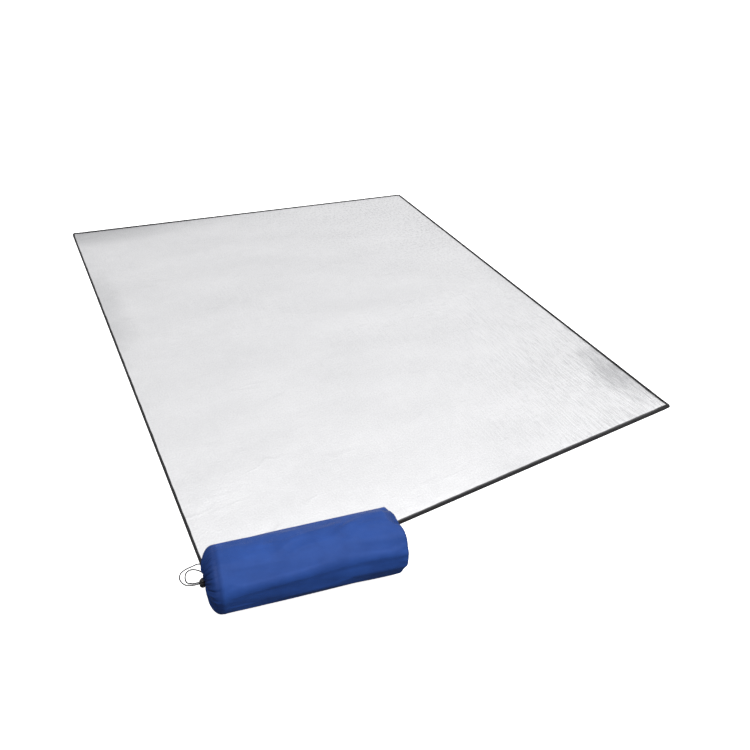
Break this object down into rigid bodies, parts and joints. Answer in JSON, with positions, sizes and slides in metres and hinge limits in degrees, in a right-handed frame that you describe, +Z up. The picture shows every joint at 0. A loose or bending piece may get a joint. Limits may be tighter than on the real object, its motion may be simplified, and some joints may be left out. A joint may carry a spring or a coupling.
{
  "type": "foam sleeping pad",
  "caption": "Foil-faced foam sleeping pad with a bound edge, laid out flat, with its packed drawstring bag lying over one corner.",
  "frame": {"origin": "on the floor under the centre of the pad's underside", "axes": "+X along the front edge to the right, +Y from the front edge to the back edge, +Z up"},
  "size_m": [1.8635, 2.1615, 0.1696],
  "materials": {
    "foil": "embossed foil, silver, satin",
    "foam": "closed-cell foam, pale, matt",
    "binding_tape": "woven tape, black",
    "bag_nylon": "coated nylon, royal blue, soft sheen",
    "drawcord": "braided cord, black",
    "lock_plastic": "moulded plastic, black",
    "spring_steel": "drawn wire"
  },
  "bodies": {
    "front_panel": {"foam_panel_01": "foam", "foil_panel_01": "foil", "binding_panel_01": "binding_tape"},
    "rolled_panel_02": {"foam_panel_02": "foam", "foil_panel_02": "foil", "binding_panel_02": "binding_tape"},
    "rolled_panel_03": {"foam_panel_03": "foam", "foil_panel_03": "foil", "binding_panel_03": "binding_tape"},
    "rolled_panel_04": {"foam_panel_04": "foam", "foil_panel_04": "foil", "binding_panel_04": "binding_tape"},
    "rolled_panel_05": {"foam_panel_05": "foam", "foil_panel_05": "foil", "binding_panel_05": "binding_tape"},
    "rolled_panel_06": {"foam_panel_06": "foam", "foil_panel_06": "foil", "binding_panel_06": "binding_tape"},
    "rolled_panel_07": {"foam_panel_07": "foam", "foil_panel_07": "foil", "binding_panel_07": "binding_tape"},
    "rolled_panel_08": {"foam_panel_08": "foam", "foil_panel_08": "foil", "binding_panel_08": "binding_tape"},
    "rolled_panel_09": {"foam_panel_09": "foam", "foil_panel_09": "foil", "binding_panel_09": "binding_tape"},
    "rolled_panel_10": {"foam_panel_10": "foam", "foil_panel_10": "foil", "binding_panel_10": "binding_tape"},
    "rolled_panel_11": {"foam_panel_11": "foam", "foil_panel_11": "foil", "binding_panel_11": "binding_tape"},
    "rolled_panel_12": {"foam_panel_12": "foam", "foil_panel_12": "foil", "binding_panel_12": "binding_tape"},
    "rolled_panel_13": {"foam_panel_13": "foam", "foil_panel_13": "foil", "binding_panel_13": "binding_tape"},
    "rolled_panel_14": {"foam_panel_14": "foam", "foil_panel_14": "foil", "binding_panel_14": "binding_tape"},
    "rolled_panel_15": {"foam_panel_15": "foam", "foil_panel_15": "foil", "binding_panel_15": "binding_tape"},
    "carry_bag": {"bag_tube": "bag_nylon", "bag_base": "bag_nylon", "bag_mouth_hem": "bag_nylon", "drawcord_in_hem": "drawcord", "drawcord_outer_loop": "drawcord", "drawcord_inner_loop": "drawcord", "packed_pad_foam": "foam", "packed_pad_foil": "foil"},
    "cord_lock": {"cord_lock_body": "lock_plastic", "cord_lock_spring": "spring_steel"},
    "cord_lock_button": {"cord_lock_plunger": "lock_plastic"}
  },
  "joints": [
    {"name": "pad_roll", "type": "hinge", "parent": "front_panel", "child": "rolled_panel_02", "pos_m": [0, -0.75, 0.0044], "axis": [1, 0, 0], "range_deg": [0, 20]},
    {"name": "pad_roll_03", "type": "hinge", "parent": "rolled_panel_02", "child": "rolled_panel_03", "pos_m": [0, -0.56481, 0.0044], "axis": [1, 0, 0], "range_deg": [0, 40]},
    {"name": "pad_roll_04", "type": "hinge", "parent": "rolled_panel_03", "child": "rolled_panel_04", "pos_m": [0, -0.38889, 0.0044], "axis": [1, 0, 0], "range_deg": [0, 55]},
    {"name": "pad_roll_05", "type": "hinge", "parent": "rolled_panel_04", "child": "rolled_panel_05", "pos_m": [0, -0.22222, 0.0044], "axis": [1, 0, 0], "range_deg": [0, 55]},
    {"name": "pad_roll_06", "type": "hinge", "parent": "rolled_panel_05", "child": "rolled_panel_06", "pos_m": [0, -0.06481, 0.0044], "axis": [1, 0, 0], "range_deg": [0, 55]},
    {"name": "pad_roll_07", "type": "hinge", "parent": "rolled_panel_06", "child": "rolled_panel_07", "pos_m": [0, 0.08333, 0.0044], "axis": [1, 0, 0], "range_deg": [0, 55]},
    {"name": "pad_roll_08", "type": "hinge", "parent": "rolled_panel_07", "child": "rolled_panel_08", "pos_m": [0, 0.22222, 0.0044], "axis": [1, 0, 0], "range_deg": [0, 55]},
    {"name": "pad_roll_09", "type": "hinge", "parent": "rolled_panel_08", "child": "rolled_panel_09", "pos_m": [0, 0.35185, 0.0044], "axis": [1, 0, 0], "range_deg": [0, 55]},
    {"name": "pad_roll_10", "type": "hinge", "parent": "rolled_panel_09", "child": "rolled_panel_10", "pos_m": [0, 0.47222, 0.0044], "axis": [1, 0, 0], "range_deg": [0, 55]},
    {"name": "pad_roll_11", "type": "hinge", "parent": "rolled_panel_10", "child": "rolled_panel_11", "pos_m": [0, 0.58333, 0.0044], "axis": [1, 0, 0], "range_deg": [0, 55]},
    {"name": "pad_roll_12", "type": "hinge", "parent": "rolled_panel_11", "child": "rolled_panel_12", "pos_m": [0, 0.68519, 0.0044], "axis": [1, 0, 0], "range_deg": [0, 55]},
    {"name": "pad_roll_13", "type": "hinge", "parent": "rolled_panel_12", "child": "rolled_panel_13", "pos_m": [0, 0.77778, 0.0044], "axis": [1, 0, 0], "range_deg": [0, 55]},
    {"name": "pad_roll_14", "type": "hinge", "parent": "rolled_panel_13", "child": "rolled_panel_14", "pos_m": [0, 0.86111, 0.0044], "axis": [1, 0, 0], "range_deg": [0, 55]},
    {"name": "pad_roll_15", "type": "hinge", "parent": "rolled_panel_14", "child": "rolled_panel_15", "pos_m": [0, 0.93519, 0.0044], "axis": [1, 0, 0], "range_deg": [0, 55]},
    {"name": "bag_lift", "type": "slide", "parent": "front_panel", "child": "carry_bag", "axis": [0, 0, 1], "range_m": [0, 0.12]},
    {"name": "cord_lock_slide", "type": "slide", "parent": "carry_bag", "child": "cord_lock", "axis": [-0.981, 0.1942, 0], "range_m": [0, 0.0055]},
    {"name": "cord_lock_press", "type": "slide", "parent": "cord_lock", "child": "cord_lock_button", "axis": [0, 0, -1], "range_m": [0, 0.0035], "stiffness_N_per_m": 600, "springref_m": -0.001, "deforming": ["cord_lock_spring"]}
  ],
  "couplings": [
    {"joint": "pad_roll_03", "follows": "pad_roll", "ratio": 2},
    {"joint": "pad_roll_04", "follows": "pad_roll", "ratio": 2.75},
    {"joint": "pad_roll_05", "follows": "pad_roll", "ratio": 2.75},
    {"joint": "pad_roll_06", "follows": "pad_roll", "ratio": 2.75},
    {"joint": "pad_roll_07", "follows": "pad_roll", "ratio": 2.75},
    {"joint": "pad_roll_08", "follows": "pad_roll", "ratio": 2.75},
    {"joint": "pad_roll_09", "follows": "pad_roll", "ratio": 2.75},
    {"joint": "pad_roll_10", "follows": "pad_roll", "ratio": 2.75},
    {"joint": "pad_roll_11", "follows": "pad_roll", "ratio": 2.75},
    {"joint": "pad_roll_12", "follows": "pad_roll", "ratio": 2.75},
    {"joint": "pad_roll_13", "follows": "pad_roll", "ratio": 2.75},
    {"joint": "pad_roll_14", "follows": "pad_roll", "ratio": 2.75},
    {"joint": "pad_roll_15", "follows": "pad_roll", "ratio": 2.75}
  ]
}
